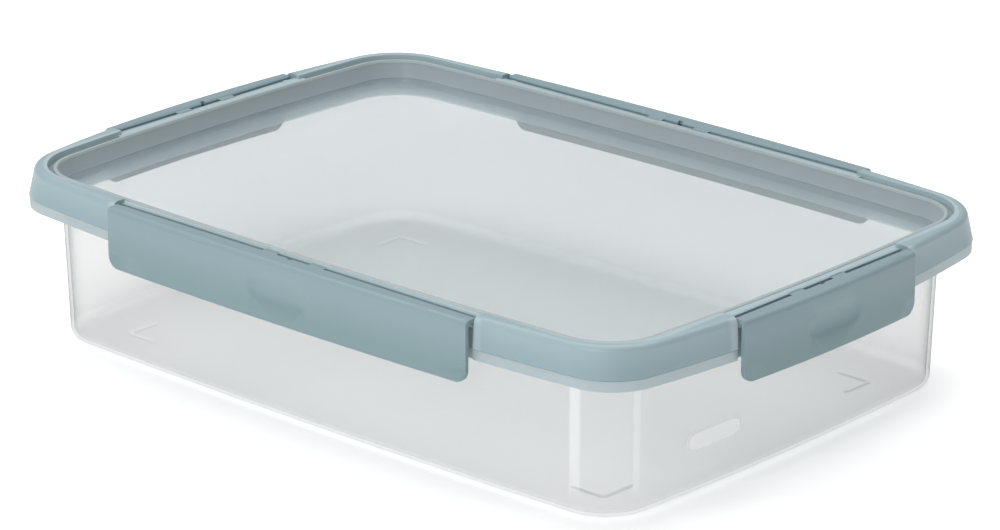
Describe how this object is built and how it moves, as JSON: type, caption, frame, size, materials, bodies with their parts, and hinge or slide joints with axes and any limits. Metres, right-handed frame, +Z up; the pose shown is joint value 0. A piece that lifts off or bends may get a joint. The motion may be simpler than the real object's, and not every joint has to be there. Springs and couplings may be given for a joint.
{
  "type": "snap lid food container",
  "caption": "Flat clear food container with a recessed clear lid, a coloured rim frame and hinged snap clips on every side.",
  "frame": {"origin": "middle of the base, on the surface the container stands on", "axes": "+X along the length, +Y across the width, +Z up"},
  "size_m": [0.3032, 0.2144, 0.0645],
  "materials": {
    "clear_tub": "clear polypropylene, slightly hazy",
    "clear_lid": "clear polypropylene with a faint blue-grey tint",
    "blue_grey_plastic": "satin moulded polypropylene with fine grain",
    "seal_silicone": "soft silicone"
  },
  "bodies": {
    "tub": {"tub": "clear_tub"},
    "lid": {"lid_window": "clear_lid", "lid_frame": "blue_grey_plastic", "seal": "seal_silicone", "front_hinge_web": "blue_grey_plastic", "rear_hinge_web": "blue_grey_plastic", "left_hinge_web": "blue_grey_plastic", "right_hinge_web": "blue_grey_plastic"},
    "front_clip": {"front_clip": "blue_grey_plastic"},
    "rear_clip": {"rear_clip": "blue_grey_plastic"},
    "left_clip": {"left_clip": "blue_grey_plastic"},
    "right_clip": {"right_clip": "blue_grey_plastic"}
  },
  "joints": [
    {"name": "lid_lift", "type": "slide", "parent": "tub", "child": "lid", "axis": [0, 0, 1], "range_m": [0, 0.08]},
    {"name": "front_clip_hinge", "type": "hinge", "parent": "lid", "child": "front_clip", "pos_m": [0, -0.0993, 0.0629], "axis": [-1, 0, 0], "range_deg": [0, 120], "deforming": ["front_hinge_web"]},
    {"name": "rear_clip_hinge", "type": "hinge", "parent": "lid", "child": "rear_clip", "pos_m": [0, 0.0993, 0.0629], "axis": [1, 0, 0], "range_deg": [0, 120], "deforming": ["rear_hinge_web"]},
    {"name": "left_clip_hinge", "type": "hinge", "parent": "lid", "child": "left_clip", "pos_m": [-0.1442, 0, 0.0629], "axis": [0, 1, 0], "range_deg": [0, 120], "deforming": ["left_hinge_web"]},
    {"name": "right_clip_hinge", "type": "hinge", "parent": "lid", "child": "right_clip", "pos_m": [0.1442, 0, 0.0629], "axis": [0, -1, 0], "range_deg": [0, 120], "deforming": ["right_hinge_web"]}
  ]
}
